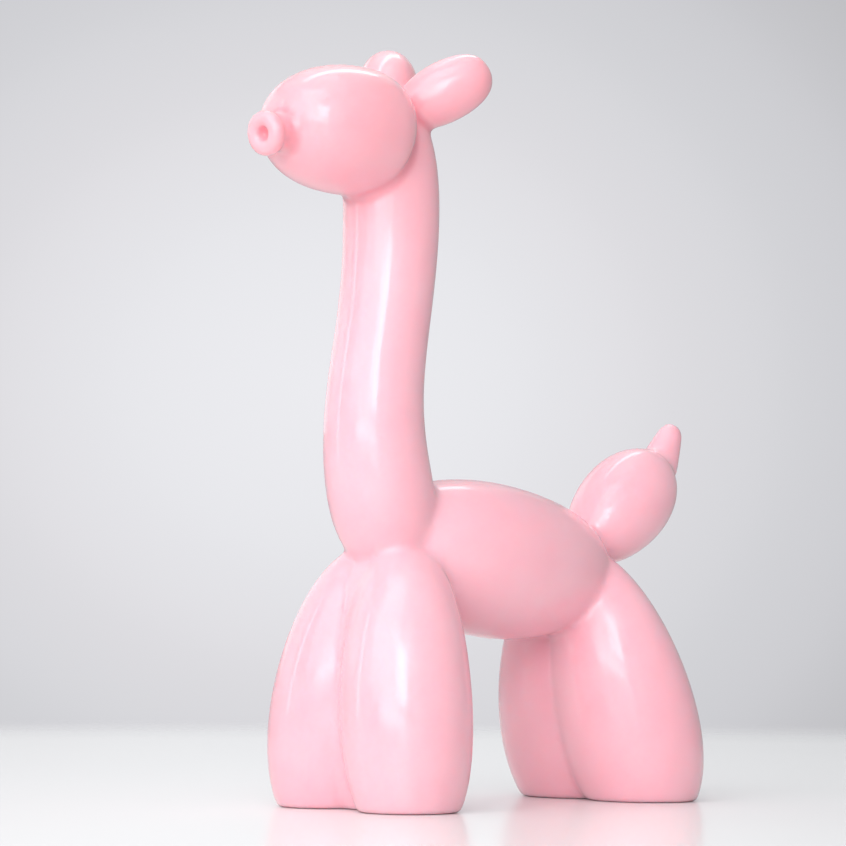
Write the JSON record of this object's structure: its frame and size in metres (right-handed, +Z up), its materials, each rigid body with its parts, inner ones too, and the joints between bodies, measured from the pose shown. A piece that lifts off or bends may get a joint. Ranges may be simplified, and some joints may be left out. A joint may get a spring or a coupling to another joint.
{
  "type": "balloon giraffe figurine",
  "caption": "Standing giraffe figurine in the shape of a twisted modelling balloon, cast in one piece, with flat feet, a long neck and a knotted nose.",
  "frame": {"origin": "middle of the bounding box's underside, on the surface that the feet stand on", "axes": "+Z up, the giraffe faces -Y, and +X is its left side"},
  "size_m": [0.0808, 0.2014, 0.2558],
  "materials": {
    "pink_resin": "satin"
  },
  "bodies": {
    "root": {"giraffe": "pink_resin"}
  },
  "joints": []
}
